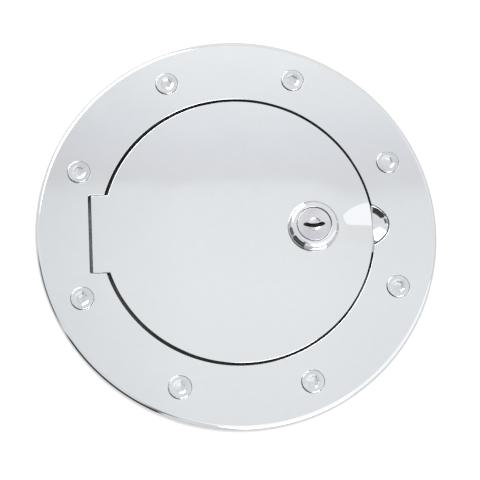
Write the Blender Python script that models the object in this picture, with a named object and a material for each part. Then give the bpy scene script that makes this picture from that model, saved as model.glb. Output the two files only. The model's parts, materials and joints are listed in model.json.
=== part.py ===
"""Flush deck fill door: a round flange with a hinged, key-locking lid.

Origin: centre of the mounting plane (the deck's surface). +Z points up out of
the deck, +X points to the lock and the finger pull, and the hinge pin lies
along Y on the -X side. Sizes are in metres.
"""
import math

import bmesh
import bpy
from mathutils import Matrix, Vector

MM = 0.001
GAP = 0.3 * MM

# Flange ring
RIM_R = 92.0 * MM
RIM_ROUND = 2.3 * MM
TOP_Z = 8.0 * MM
FLANGE_BOTTOM_Z = 1.6 * MM
OPENING_R = 63.0 * MM
LEDGE_R = 53.0 * MM
LEDGE_TOP_Z = 2.3 * MM
SPIGOT_R = 71.0 * MM
SPIGOT_BOTTOM_Z = -1.5 * MM
COLLAR_INNER_R = 64.5 * MM
COLLAR_OUTER_R = 67.5 * MM
COLLAR_BOTTOM_Z = -14.0 * MM
COLLAR_GAP_X = -50.0 * MM
COLLAR_GAP_HALF_Y = 34.0 * MM

# Deck fixings: M6 screws with low round heads
SCREW_COUNT = 8
SCREW_CIRCLE_R = 77.4 * MM
SCREW_FIRST_DEG = 22.5
SCREW_R = 2.9 * MM
SCREW_LENGTH = 25.0 * MM
HEAD_R = 5.1 * MM
HEAD_BASE_Z = 6.6 * MM
HEAD_TOP_Z = 8.5 * MM
HEX_SOCKET_FLATS = 4.0 * MM
SOCKET_DEPTH = 2.0 * MM
COUNTERBORE_R = 5.5 * MM
WASHER_R = 6.0 * MM
WASHER_T = 1.6 * MM
WASHER_TOP_Z = -8.3 * MM
NUT_FLATS = 10.0 * MM
NUT_T = 5.0 * MM

# Door and hinge
DOOR_R = 61.6 * MM
DOOR_SHIFT_X = 0.35 * MM
DOOR_BOTTOM_Z = 4.0 * MM
PIN_X = -63.1 * MM
PIN_Z = 4.5 * MM
PIN_R = 1.25 * MM
PIN_HALF_LENGTH = 23.5 * MM
BARREL_R = 3.5 * MM
TAB_HALF_Y = 18.1 * MM
POCKET_X = (-68.0 * MM, -57.6 * MM)
POCKET_HALF_Y = 18.6 * MM
POCKET_FLOOR_Z = 0.3 * MM
SPRING_BAY_HALF_Y = 6.3 * MM

# Hinge spring
WIRE_R = 0.35 * MM
COIL_R = 1.95 * MM
COIL_HALF_LENGTH = 4.4 * MM
COIL_TURNS = 7.75
DOOR_LEG = 4.9 * MM
RING_LEG = 8.5 * MM

# Finger pull
SCOOP_CENTRE_X = 61.2 * MM
SCOOP_SIZE = (13.2 * MM, 10.8 * MM, 3.0 * MM)
WELL_CENTRE_X = 50.0 * MM
WELL_SIZE = (20.2 * MM, 12.6 * MM, 6.3 * MM)
WELL_START_X = 57.5 * MM

# Rubber ring on the ledge, cut away at the hinge and at the finger well
SEAL_R = (54.0 * MM, 62.9 * MM)

# Lock
LOCK_X = 34.6 * MM
BEZEL_R = 11.7 * MM
BEZEL_BOTTOM_Z = 8.7 * MM
BEZEL_TOP_Z = 12.4 * MM
BODY_R = 9.5 * MM
BODY_HALF_FLATS = 8.2 * MM
BODY_BOTTOM_Z = -8.0 * MM
PLUG_FACE_R = 7.8 * MM
PLUG_R = 6.5 * MM
PLUG_TOP_Z = 12.2 * MM
PLUG_SHOULDER_Z = 10.3 * MM
TAIL_SIDE = 6.0 * MM
TAIL_BOTTOM_Z = -11.7 * MM
KEYWAY = (10.0 * MM, 1.9 * MM)
KEYWAY_BOTTOM_Z = -3.0 * MM
WAFER_COUNT = 5
WAFER_FIRST_Z = 8.2 * MM
WAFER_PITCH = 2.5 * MM
CAM_REACH = 25.5 * MM
CAM_Z = (-11.6 * MM, -9.6 * MM)


def clear_scene():
    for obj in list(bpy.data.objects):
        bpy.data.objects.remove(obj, do_unlink=True)


def material(name, colour, metallic, roughness):
    mat = bpy.data.materials.new(name)
    mat.use_nodes = True
    shader = mat.node_tree.nodes["Principled BSDF"]
    shader.inputs["Base Color"].default_value = (*colour, 1.0)
    shader.inputs["Metallic"].default_value = metallic
    shader.inputs["Roughness"].default_value = roughness
    mat.diffuse_color = (*colour, 1.0)
    return mat


def object_from_bmesh(name, bm):
    bmesh.ops.recalc_face_normals(bm, faces=bm.faces)
    mesh = bpy.data.meshes.new(name)
    bm.to_mesh(mesh)
    bm.free()
    obj = bpy.data.objects.new(name, mesh)
    bpy.context.scene.collection.objects.link(obj)
    return obj


def ring_of(bm, radius, z, steps, phase=0.0):
    if radius <= 0.0:
        return [bm.verts.new((0.0, 0.0, z))]
    angles = [phase + 2.0 * math.pi * i / steps for i in range(steps)]
    return [bm.verts.new((radius * math.cos(a), radius * math.sin(a), z)) for a in angles]


def bridge(bm, lower, upper):
    """Join two rings of vertices; a ring of one vertex is a pole."""
    steps = max(len(lower), len(upper))
    for i in range(steps):
        j = (i + 1) % steps
        corners = [lower[i % len(lower)], lower[j % len(lower)],
                   upper[j % len(upper)], upper[i % len(upper)]]
        unique = list(dict.fromkeys(corners))
        if len(unique) > 2:
            bm.faces.new(unique)


def revolve_into(bm, profile, steps, phase=0.0):
    """Turn a closed (radius, z) outline about Z. Poles have radius 0."""
    rings = [ring_of(bm, r, z, steps, phase) for r, z in profile]
    closed = profile[0][0] > 0.0
    for i in range(len(rings) - 1):
        bridge(bm, rings[i], rings[i + 1])
    if closed:
        bridge(bm, rings[-1], rings[0])


def revolve(name, profile, steps=48, phase=0.0):
    bm = bmesh.new()
    revolve_into(bm, profile, steps, phase)
    return object_from_bmesh(name, bm)


def prism_into(bm, outline, z0, z1):
    """Raise a closed (x, y) outline from z0 to z1."""
    low = [bm.verts.new((x, y, z0)) for x, y in outline]
    high = [bm.verts.new((x, y, z1)) for x, y in outline]
    bm.faces.new(low)
    bm.faces.new(high)
    bridge(bm, low, high)


def prism(name, outline, z0, z1):
    bm = bmesh.new()
    prism_into(bm, outline, z0, z1)
    return object_from_bmesh(name, bm)


def rectangle(x0, x1, y0, y1):
    return [(x0, y0), (x1, y0), (x1, y1), (x0, y1)]


def rounded_rectangle(x0, x1, y0, y1, radius, steps=5):
    centres = [(x1 - radius, y1 - radius, 0), (x0 + radius, y1 - radius, 90),
               (x0 + radius, y0 + radius, 180), (x1 - radius, y0 + radius, 270)]
    points = []
    for cx, cy, start in centres:
        for i in range(steps + 1):
            a = math.radians(start + 90.0 * i / steps)
            points.append((cx + radius * math.cos(a), cy + radius * math.sin(a)))
    return points


def arc(cx, cz, radius, start, end, steps):
    """Points on an arc, angles in degrees."""
    turns = [math.radians(start + (end - start) * i / steps) for i in range(steps + 1)]
    return [(cx + radius * math.cos(a), cz + radius * math.sin(a)) for a in turns]


def move_mesh(obj, offset):
    obj.data.transform(Matrix.Translation(Vector(offset)))
    return obj


def along_y(obj):
    """Lay a shape built about Z down along Y."""
    obj.data.transform(Matrix.Rotation(math.radians(90.0), 4, "X"))
    return obj


def boolean(obj, cutter, operation="DIFFERENCE"):
    cutter.hide_render = True
    cutter.display_type = "WIRE"
    modifier = obj.modifiers.new(cutter.name, "BOOLEAN")
    modifier.operation = operation
    modifier.solver = "EXACT"
    modifier.object = cutter


def finish(obj, mat, origin=(0.0, 0.0, 0.0), parent=None, smooth=True):
    """Give the piece its material, its origin and its parent."""
    origin = Vector(origin)
    obj.data.materials.append(mat)
    obj.data.transform(Matrix.Translation(-origin))
    obj.location = origin
    if smooth:
        obj.data.shade_smooth()
        obj.data.set_sharp_from_angle(angle=math.radians(35.0))
    if parent is not None:
        obj.parent = parent
        obj.location = origin - world_location(parent)
    return obj


def world_location(obj):
    place = Vector(obj.location)
    return place if obj.parent is None else place + world_location(obj.parent)


def adopt_cutter(cutter, origin, parent):
    """Let a cutter ride with the piece that it cuts."""
    cutter.data.transform(Matrix.Translation(-Vector(origin)))
    cutter.parent = parent
    cutter.location = Vector(origin) - world_location(parent)


def empty(name, place, parent=None):
    obj = bpy.data.objects.new(name, None)
    obj.empty_display_size = 5.0 * MM
    bpy.context.scene.collection.objects.link(obj)
    obj.location = place
    if parent is not None:
        obj.parent = parent
        obj.location = Vector(place) - world_location(parent)
    return obj


def screw_places():
    for i in range(SCREW_COUNT):
        a = math.radians(SCREW_FIRST_DEG + 360.0 * i / SCREW_COUNT)
        yield i + 1, SCREW_CIRCLE_R * math.cos(a), SCREW_CIRCLE_R * math.sin(a)


def bowl(name, centre_x, size, power, steepness):
    """A dished cutter: an ellipse in plan that deepens towards its middle."""
    a, b, depth = size
    bm = bmesh.new()
    steps = 48
    levels = 8
    roof = 4.0 * MM
    profile = [(0.0, roof), (1.0, roof)]
    for i in range(levels):
        rho = math.cos(0.5 * math.pi * i / levels)
        profile.append((rho, -depth * (1.0 - rho ** power) ** steepness))
    profile.append((0.0, -depth))
    revolve_into(bm, profile, steps)
    for v in bm.verts:
        v.co = Vector((centre_x + a * v.co.x, b * v.co.y, TOP_Z + v.co.z))
    return object_from_bmesh(name, bm)


def keep_beyond_x(obj, x):
    """Cut a closed mesh at x and keep its +X side, closed again."""
    bm = bmesh.new()
    bm.from_mesh(obj.data)
    geometry = list(bm.verts) + list(bm.edges) + list(bm.faces)
    cut = bmesh.ops.bisect_plane(bm, geom=geometry, plane_co=(x, 0.0, 0.0),
                                 plane_no=(1.0, 0.0, 0.0), clear_inner=True)
    edges = [e for e in cut["geom_cut"] if isinstance(e, bmesh.types.BMEdge)]
    bmesh.ops.holes_fill(bm, edges=edges, sides=0)
    bmesh.ops.recalc_face_normals(bm, faces=bm.faces)
    bm.to_mesh(obj.data)
    bm.free()


def hexagon(flats):
    radius = flats / math.sqrt(3.0)
    return [(radius * math.cos(math.radians(60.0 * i)), radius * math.sin(math.radians(60.0 * i)))
            for i in range(6)]


def annulus(name, inner, outer, z0, z1, steps=96):
    return revolve(name, [(inner, z0), (outer, z0), (outer, z1), (inner, z1)], steps)


def deck_ring(mat):
    profile = [(OPENING_R, TOP_Z), (OPENING_R, LEDGE_TOP_Z), (LEDGE_R, LEDGE_TOP_Z),
               (LEDGE_R, SPIGOT_BOTTOM_Z), (COLLAR_INNER_R, SPIGOT_BOTTOM_Z),
               (COLLAR_INNER_R, COLLAR_BOTTOM_Z), (COLLAR_OUTER_R, COLLAR_BOTTOM_Z),
               (COLLAR_OUTER_R, SPIGOT_BOTTOM_Z), (SPIGOT_R, SPIGOT_BOTTOM_Z),
               (SPIGOT_R, FLANGE_BOTTOM_Z), (RIM_R, FLANGE_BOTTOM_Z)]
    profile += arc(RIM_R - RIM_ROUND, TOP_Z - RIM_ROUND, RIM_ROUND, 0.0, 90.0, 5)
    ring = revolve("deck_ring", profile, 96)

    lug = prism("strike_lug", rectangle(56.5 * MM, 65.5 * MM, -7.0 * MM, 7.0 * MM),
                -9.2 * MM, SPIGOT_BOTTOM_Z + 1.0 * MM)
    boolean(ring, lug, "UNION")

    bm = bmesh.new()
    for _, x, y in screw_places():
        hole = bmesh.new()
        revolve_into(hole, [(0.0, -1.0 * MM), (SCREW_R + 0.4 * MM, -1.0 * MM),
                            (SCREW_R + 0.4 * MM, HEAD_BASE_Z - GAP),
                            (COUNTERBORE_R, HEAD_BASE_Z - GAP),
                            (COUNTERBORE_R, 10.0 * MM), (0.0, 10.0 * MM)], 24)
        bmesh.ops.translate(hole, verts=hole.verts, vec=(x, y, 0.0))
        mesh = bpy.data.meshes.new("hole")
        hole.to_mesh(mesh)
        hole.free()
        bm.from_mesh(mesh)
        bpy.data.meshes.remove(mesh)
    boolean(ring, object_from_bmesh("screw_holes", bm))

    bm = bmesh.new()
    prism_into(bm, rounded_rectangle(POCKET_X[0], POCKET_X[1], -POCKET_HALF_Y, POCKET_HALF_Y,
                                     1.0 * MM), POCKET_FLOOR_Z, 10.0 * MM)
    boolean(ring, object_from_bmesh("hinge_pocket", bm))

    bm = bmesh.new()
    prism_into(bm, rectangle(-75.0 * MM, COLLAR_GAP_X, -COLLAR_GAP_HALF_Y, COLLAR_GAP_HALF_Y),
               -16.0 * MM, SPIGOT_BOTTOM_Z)
    boolean(ring, object_from_bmesh("collar_gap", bm))

    bm = bmesh.new()
    for side in (-1.0, 1.0):
        ends = sorted((side * (POCKET_HALF_Y - 0.5 * MM), side * (PIN_HALF_LENGTH + 0.5 * MM)))
        slot = rectangle(PIN_X - PIN_R - 0.15 * MM, PIN_X + PIN_R + 0.15 * MM, *ends)
        prism_into(bm, slot, SPIGOT_BOTTOM_Z - 1.0 * MM, PIN_Z + PIN_R + 0.15 * MM)
        hole = [(x + PIN_X + 1.1 * MM, y + side * 27.0 * MM)
                for x, y in arc(0.0, 0.0, 1.55 * MM, 0.0, 345.0, 23)]
        prism_into(bm, hole, SPIGOT_BOTTOM_Z - 1.0 * MM, 3.5 * MM)
    leg_x = PIN_X + COIL_R
    prism_into(bm, rectangle(leg_x - 0.9 * MM, leg_x + WIRE_R + GAP, -5.4 * MM, -3.4 * MM),
               SPIGOT_BOTTOM_Z - 1.0 * MM, POCKET_FLOOR_Z + 1.0 * MM)
    boolean(ring, object_from_bmesh("underside_slots", bm))

    well = bowl("finger_well", WELL_CENTRE_X, WELL_SIZE, 3.0, 0.8)
    keep_beyond_x(well, WELL_START_X)
    boolean(ring, well)
    return finish(ring, mat)


def door(mat, hinge):
    profile = [(0.0, DOOR_BOTTOM_Z), (DOOR_R, DOOR_BOTTOM_Z), (DOOR_R, TOP_Z), (0.0, TOP_Z)]
    plate = revolve("door", profile, 96)
    move_mesh(plate, (DOOR_SHIFT_X, 0.0, 0.0))

    # The tab in side view: flat top, round end about the pin.
    tab = [(PIN_X + 14.0 * MM, DOOR_BOTTOM_Z), (PIN_X + 14.0 * MM, TOP_Z)]
    tab += arc(PIN_X, PIN_Z, BARREL_R, 90.0, 340.0, 20)
    tab.append((PIN_X + BARREL_R, DOOR_BOTTOM_Z))
    tab = prism("hinge_tab", [(x, -z) for x, z in tab], -TAB_HALF_Y, TAB_HALF_Y)
    tab.data.transform(Matrix.Rotation(math.radians(-90.0), 4, "X"))
    boolean(plate, tab, "UNION")

    eye = prism("spring_eye", rectangle(PIN_X + 2.5 * MM, PIN_X + 4.1 * MM, 3.1 * MM, 5.7 * MM),
                1.2 * MM, DOOR_BOTTOM_Z + 1.0 * MM)

    bm = bmesh.new()
    revolve_into(bm, [(0.0, -SPRING_BAY_HALF_Y), (2.6 * MM, -SPRING_BAY_HALF_Y),
                      (2.6 * MM, SPRING_BAY_HALF_Y), (0.0, SPRING_BAY_HALF_Y)], 24)
    bay = along_y(object_from_bmesh("spring_bay", bm))
    move_mesh(bay, (PIN_X, 0.0, PIN_Z))
    boolean(plate, bay)
    under = prism("spring_bay_mouth", rectangle(PIN_X - 5.0 * MM, PIN_X + 5.0 * MM,
                                                -SPRING_BAY_HALF_Y, SPRING_BAY_HALF_Y),
                  0.0, DOOR_BOTTOM_Z)
    boolean(plate, under)
    boolean(plate, eye, "UNION")

    pin_hole = revolve("pin_hole", [(0.0, -20.0 * MM), (PIN_R + 0.1 * MM, -20.0 * MM),
                                    (PIN_R + 0.1 * MM, 20.0 * MM), (0.0, 20.0 * MM)], 24)
    move_mesh(along_y(pin_hole), (PIN_X, 0.0, PIN_Z))
    boolean(plate, pin_hole)

    eye_hole = revolve("eye_hole", [(0.0, -5.0 * MM), (0.7 * MM, -5.0 * MM),
                                    (0.7 * MM, 5.0 * MM), (0.0, 5.0 * MM)], 12)
    eye_hole.data.transform(Matrix.Rotation(math.radians(90.0), 4, "Y"))
    move_mesh(eye_hole, (PIN_X + 3.3 * MM, COIL_HALF_LENGTH, PIN_Z - COIL_R))
    boolean(plate, eye_hole)

    scoop = bowl("door_scoop", SCOOP_CENTRE_X, SCOOP_SIZE, 2.0, 0.8)
    boolean(plate, scoop)

    lock_hole = prism("lock_hole", double_d(BODY_R + GAP, BODY_HALF_FLATS + GAP),
                      0.0, 10.0 * MM)
    move_mesh(lock_hole, (LOCK_X, 0.0, 0.0))
    boolean(plate, lock_hole)

    origin = (PIN_X, 0.0, PIN_Z)
    for cutter in (tab, eye, bay, under, pin_hole, eye_hole, scoop, lock_hole):
        adopt_cutter(cutter, origin, hinge)
    return finish(plate, mat, origin, hinge)


def double_d(radius, half_flats, steps=14):
    """A circle with two flats, at +Y and -Y."""
    limit = math.degrees(math.asin(half_flats / radius))
    points = arc(0.0, 0.0, radius, -limit, limit, steps)
    return points + [(-x, -y) for x, y in points]


def hinge_parts(steel, spring_steel):
    pin = revolve("hinge_pin", [(0.0, -PIN_HALF_LENGTH), (PIN_R - GAP, -PIN_HALF_LENGTH),
                                (PIN_R, -PIN_HALF_LENGTH + GAP), (PIN_R, PIN_HALF_LENGTH - GAP),
                                (PIN_R - GAP, PIN_HALF_LENGTH), (0.0, PIN_HALF_LENGTH)], 24)
    move_mesh(along_y(pin), (PIN_X, 0.0, PIN_Z))
    finish(pin, steel, (PIN_X, 0.0, PIN_Z))

    spring = wire("hinge_spring", spring_path(), WIRE_R, 8)
    finish(spring, spring_steel, (PIN_X, 0.0, PIN_Z))

    for number, side in ((1, -1.0), (2, 1.0)):
        cx = PIN_X + 0.6 * MM
        outline = [(cx - 3.4 * MM, 19.2 * MM), (cx + 3.4 * MM, 19.2 * MM)]
        outline += arc(cx, 27.0 * MM, 3.4 * MM, 0.0, 180.0, 12)
        top = SPIGOT_BOTTOM_Z - GAP
        plate = prism(f"pin_retainer_{number}", [(x, side * y) for x, y in outline],
                      top - 1.2 * MM, top)
        rib_y = sorted((side * 19.2 * MM, side * 23.4 * MM))
        rib = prism(f"retainer_rib_{number}", rectangle(PIN_X - 1.0 * MM, PIN_X + 1.0 * MM, *rib_y),
                    top - 0.6 * MM, PIN_Z - PIN_R - GAP)
        boolean(plate, rib, "UNION")
        place = (PIN_X + 1.1 * MM, side * 27.0 * MM, 0.0)
        hole = revolve(f"retainer_hole_{number}", [(0.0, -6.0 * MM), (1.5 * MM, -6.0 * MM),
                                                  (1.5 * MM, 0.0), (0.0, 0.0)], 16)
        move_mesh(hole, place)
        boolean(plate, hole)
        finish(plate, steel)
        under = top - 1.2 * MM - GAP
        screw = revolve(f"retainer_screw_{number}",
                        [(0.0, under - 1.7 * MM), (2.2 * MM, under - 1.7 * MM),
                         (2.6 * MM, under - 1.2 * MM), (2.6 * MM, under), (1.2 * MM, under),
                         (1.2 * MM, 2.9 * MM), (0.9 * MM, 3.2 * MM), (0.0, 3.2 * MM)], 20)
        finish(move_mesh(screw, place), steel, (place[0], place[1], under))


def spring_path():
    """The wire's centre line: ring leg, coil about the pin, door leg."""
    points = [(COIL_R, -COIL_HALF_LENGTH, -RING_LEG)]
    steps = int(COIL_TURNS * 14)
    for i in range(steps + 1):
        t = i / steps
        a = 2.0 * math.pi * COIL_TURNS * t
        points.append((COIL_R * math.cos(a), COIL_HALF_LENGTH * (2.0 * t - 1.0),
                       COIL_R * math.sin(a)))
    points.append((DOOR_LEG, COIL_HALF_LENGTH, -COIL_R))
    return [Vector((PIN_X + x, y, PIN_Z + z)) for x, y, z in points]


def wire(name, path, radius, sides):
    bm = bmesh.new()
    rings = []
    for i, point in enumerate(path):
        before = path[max(i - 1, 0)]
        after = path[min(i + 1, len(path) - 1)]
        tangent = (after - before).normalized()
        across = tangent.cross(Vector((0.0, 1.0, 0.0))).normalized()
        up = across.cross(tangent)
        angles = [2.0 * math.pi * k / sides for k in range(sides)]
        rings.append([bm.verts.new(point + radius * (math.cos(a) * across + math.sin(a) * up))
                      for a in angles])
    for i in range(len(rings) - 1):
        bridge(bm, rings[i], rings[i + 1])
    bm.faces.new(rings[0])
    bm.faces.new(rings[-1])
    return object_from_bmesh(name, bm)


def lock_shell(chrome, rubber, zinc, hinge):
    origin = (LOCK_X, 0.0, TOP_Z)
    bore = PLUG_R + GAP
    profile = [(PLUG_FACE_R + GAP, BEZEL_TOP_Z), (PLUG_FACE_R + GAP, PLUG_SHOULDER_Z - GAP),
               (bore, PLUG_SHOULDER_Z - GAP), (bore, BODY_BOTTOM_Z), (BODY_R, BODY_BOTTOM_Z),
               (BODY_R, BEZEL_BOTTOM_Z), (BEZEL_R, BEZEL_BOTTOM_Z)]
    rise = BEZEL_TOP_Z - BEZEL_BOTTOM_Z - 0.4 * MM
    run = BEZEL_R - 8.7 * MM
    for i in range(7):
        a = math.radians(90.0 * i / 6)
        profile.append((8.7 * MM + run * math.cos(a), BEZEL_BOTTOM_Z + 0.4 * MM + rise * math.sin(a)))
    housing = revolve("lock_housing", profile, 48)
    bm = bmesh.new()
    for side in (-1.0, 1.0):
        ends = sorted((side * BODY_HALF_FLATS, side * 12.0 * MM))
        prism_into(bm, rectangle(-12.0 * MM, 12.0 * MM, *ends),
                   BODY_BOTTOM_Z - 1.0 * MM, BEZEL_BOTTOM_Z - 0.2 * MM)
    flats = object_from_bmesh("body_flats", bm)
    boolean(housing, flats)
    for obj in (housing, flats):
        move_mesh(obj, (LOCK_X, 0.0, 0.0))
    adopt_cutter(flats, origin, hinge)
    finish(housing, chrome, origin, hinge)

    seal = annulus("lock_seal", BODY_R + GAP, BEZEL_R - 0.7 * MM, TOP_Z + 0.1 * MM,
                   BEZEL_BOTTOM_Z - 0.1 * MM, 32)
    finish(move_mesh(seal, (LOCK_X, 0.0, 0.0)), rubber, origin, hinge)

    nut = prism("lock_nut", hexagon(24.0 * MM), 0.5 * MM, DOOR_BOTTOM_Z - GAP)
    bore = revolve("lock_nut_bore", [(0.0, -1.0 * MM), (BODY_R + GAP, -1.0 * MM),
                                     (BODY_R + GAP, 5.0 * MM), (0.0, 5.0 * MM)], 32)
    boolean(nut, bore)
    for obj in (nut, bore):
        move_mesh(obj, (LOCK_X, 0.0, 0.0))
    adopt_cutter(bore, origin, hinge)
    finish(nut, zinc, origin, hinge)


def wafer_heights():
    return [WAFER_FIRST_Z - WAFER_PITCH * i for i in range(WAFER_COUNT)]


def lock_core(chrome, brass, zinc, steel, axis):
    """Everything that turns with the key."""
    origin = (LOCK_X, 0.0, TOP_Z)
    profile = [(0.0, -8.3 * MM), (PLUG_R, -8.3 * MM), (PLUG_R, PLUG_SHOULDER_Z),
               (PLUG_FACE_R, PLUG_SHOULDER_Z), (PLUG_FACE_R, PLUG_TOP_Z - 0.3 * MM),
               (PLUG_FACE_R - 0.3 * MM, PLUG_TOP_Z), (3.2 * MM, PLUG_TOP_Z),
               (0.0, PLUG_TOP_Z - 0.5 * MM)]
    plug = revolve("lock_plug", profile, 40)
    half = TAIL_SIDE / 2.0
    tail = prism("plug_tail", rectangle(-half, half, -half, half), TAIL_BOTTOM_Z, -8.0 * MM)
    boolean(plug, tail, "UNION")
    bm = bmesh.new()
    prism_into(bm, [(x + 0.0, y) for x, y in arc(0.0, 0.0, 2.0 * MM, 0.0, 340.0, 17)],
               TAIL_BOTTOM_Z - 1.0 * MM, -4.5 * MM)
    for z in wafer_heights():
        prism_into(bm, rectangle(-7.5 * MM, 7.5 * MM, -3.3 * MM, 3.3 * MM),
                   z - 0.7 * MM, z + 0.7 * MM)
    slots = object_from_bmesh("plug_slots", bm)
    boolean(plug, slots)
    keyway = prism("keyway", rounded_rectangle(-KEYWAY[0] / 2, KEYWAY[0] / 2, -KEYWAY[1] / 2,
                                               KEYWAY[1] / 2, 0.5 * MM, 3),
                   KEYWAY_BOTTOM_Z, PLUG_TOP_Z + 1.0 * MM)
    boolean(plug, keyway)
    for obj in (plug, tail, slots, keyway):
        move_mesh(obj, (LOCK_X, 0.0, 0.0))
    for cutter in (tail, slots, keyway):
        adopt_cutter(cutter, origin, axis)
    finish(plug, chrome, origin, axis)

    for i, z in enumerate(wafer_heights()):
        wafer = wafer_plate(f"lock_wafer_{i + 1}", z)
        finish(move_mesh(wafer, (LOCK_X, 0.0, 0.0)), brass, origin, axis, smooth=False)

    def pierced(name, outline, z0, z1, hole):
        """A plate with a hole through it, made of one closed wall."""
        plate = prism(name, outline, z0, z1)
        cutter = prism(name + "_hole", hole, z0 - 1.0 * MM, z1 + 1.0 * MM)
        boolean(plate, cutter)
        for obj in (plate, cutter):
            move_mesh(obj, (LOCK_X, 0.0, 0.0))
        adopt_cutter(cutter, origin, axis)
        return plate

    square = half + GAP
    square_hole = rectangle(-square, square, -square, square)
    stop = pierced("stop_washer", arc(0.0, 0.0, 8.0 * MM, 0.0, 348.75, 31),
                   -9.3 * MM, -8.6 * MM, square_hole)
    finish(stop, zinc, origin, axis)

    # The arm leaves along -Y and narrows to a round end.
    outline = arc(0.0, 0.0, 8.0 * MM, -20.0, 200.0, 16)
    outline += arc(0.0, -CAM_REACH + 4.0 * MM, 4.0 * MM, 190.0, 350.0, 10)
    cam = pierced("lock_cam", outline, *CAM_Z, square_hole)
    finish(cam, zinc, origin, axis)

    washer_top = CAM_Z[0] - 0.3 * MM
    washer = annulus("cam_washer", 2.0 * MM, 5.5 * MM, washer_top - 1.0 * MM, washer_top, 24)
    finish(move_mesh(washer, (LOCK_X, 0.0, 0.0)), zinc, origin, axis)

    under = washer_top - 1.3 * MM
    screw = revolve("cam_screw", [(0.0, under - 2.3 * MM), (2.8 * MM, under - 2.3 * MM),
                                  (3.5 * MM, under - 1.2 * MM), (3.5 * MM, under),
                                  (1.6 * MM, under), (1.6 * MM, -5.3 * MM),
                                  (1.2 * MM, -5.0 * MM), (0.0, -5.0 * MM)], 20)
    finish(move_mesh(screw, (LOCK_X, 0.0, 0.0)), steel, origin, axis)


def wafer_plate(name, z):
    """A thin plate with a window for the key blade."""
    bm = bmesh.new()
    outer = rectangle(-6.0 * MM, 6.0 * MM, -3.0 * MM, 3.0 * MM)
    inner = rectangle(-4.3 * MM, 4.3 * MM, -1.2 * MM, 1.2 * MM)
    rings = []
    for outline, height in ((outer, -0.4), (outer, 0.4), (inner, 0.4), (inner, -0.4)):
        rings.append([bm.verts.new((x, y, z + height * MM)) for x, y in outline])
    for i in range(4):
        bridge(bm, rings[i], rings[(i + 1) % 4])
    return object_from_bmesh(name, bm)


def deck_fixings(steel):
    shank_bottom = HEAD_BASE_Z - SCREW_LENGTH
    washer_bottom = WASHER_TOP_Z - WASHER_T
    nut_top = washer_bottom - GAP
    for number, x, y in screw_places():
        profile = [(0.0, shank_bottom), (SCREW_R - 0.5 * MM, shank_bottom),
                   (SCREW_R, shank_bottom + 0.5 * MM), (SCREW_R, HEAD_BASE_Z),
                   (HEAD_R, HEAD_BASE_Z), (HEAD_R, HEAD_BASE_Z + 0.7 * MM)]
        crown = HEAD_TOP_Z - HEAD_BASE_Z - 0.7 * MM
        for i in range(1, 5):
            a = math.radians(90.0 * i / 4)
            profile.append((4.1 * MM + (HEAD_R - 4.1 * MM) * math.cos(a),
                            HEAD_BASE_Z + 0.7 * MM + crown * math.sin(a)))
        screw = blind_hex_screw(f"deck_screw_{number}", profile)
        finish(move_mesh(screw, (x, y, 0.0)), steel, (x, y, HEAD_BASE_Z))

        washer = annulus(f"deck_washer_{number}", SCREW_R + GAP, WASHER_R, washer_bottom,
                         WASHER_TOP_Z, 24)
        finish(move_mesh(washer, (x, y, 0.0)), steel, (x, y, washer_bottom))

        nut = hex_nut(f"deck_nut_{number}", NUT_FLATS, SCREW_R + GAP, nut_top - NUT_T, nut_top)
        finish(move_mesh(nut, (x, y, 0.0)), steel, (x, y, nut_top))


def blind_hex_screw(name, profile):
    """A turned screw whose head ends in a blind hexagon socket."""
    bm = bmesh.new()
    steps = 24
    rings = [ring_of(bm, r, z, steps) for r, z in profile]
    for i in range(len(rings) - 1):
        bridge(bm, rings[i], rings[i + 1])
    inner = 0.5 * HEX_SOCKET_FLATS
    socket = []
    for z in (HEAD_TOP_Z, HEAD_TOP_Z - SOCKET_DEPTH):
        ring = []
        for i in range(steps):
            a = 2.0 * math.pi * i / steps
            off = (a + math.pi / 6.0) % (math.pi / 3.0) - math.pi / 6.0
            reach = inner / math.cos(off)
            ring.append(bm.verts.new((reach * math.cos(a), reach * math.sin(a), z)))
        socket.append(ring)
    bridge(bm, rings[-1], socket[0])
    bridge(bm, socket[0], socket[1])
    bm.faces.new(socket[1])
    return object_from_bmesh(name, bm)


def hex_nut(name, flats, bore, z0, z1):
    bm = bmesh.new()
    steps = 24
    rings = []
    for z in (z0, z1):
        ring = []
        for i in range(steps):
            a = 2.0 * math.pi * i / steps
            off = (a + math.pi / 6.0) % (math.pi / 3.0) - math.pi / 6.0
            reach = 0.5 * flats / math.cos(off)
            ring.append(bm.verts.new((reach * math.cos(a), reach * math.sin(a), z)))
        rings.append(ring)
    rings.append(ring_of(bm, bore, z1, steps))
    rings.append(ring_of(bm, bore, z0, steps))
    for i in range(4):
        bridge(bm, rings[i], rings[(i + 1) % 4])
    return object_from_bmesh(name, bm)


def gaskets(rubber):
    gasket = annulus("deck_gasket", 72.0 * MM, 89.0 * MM, 0.0, FLANGE_BOTTOM_Z - GAP)
    bm = bmesh.new()
    for _, x, y in screw_places():
        outline = [(x + px, y + py) for px, py in arc(0.0, 0.0, 3.6 * MM, 0.0, 342.0, 19)]
        prism_into(bm, outline, -1.0 * MM, 3.0 * MM)
    boolean(gasket, object_from_bmesh("gasket_holes", bm))
    finish(gasket, rubber)
    seal = annulus("door_seal", SEAL_R[0], SEAL_R[1], LEDGE_TOP_Z + GAP, DOOR_BOTTOM_Z - GAP)
    bm = bmesh.new()
    prism_into(bm, rectangle(-70.0 * MM, POCKET_X[1] + GAP, -POCKET_HALF_Y - GAP,
                             POCKET_HALF_Y + GAP), 0.0, 6.0 * MM)
    prism_into(bm, rectangle(WELL_START_X - GAP, 70.0 * MM, -12.0 * MM, 12.0 * MM),
               0.0, 6.0 * MM)
    boolean(seal, object_from_bmesh("seal_gaps", bm))
    finish(seal, rubber)


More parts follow.
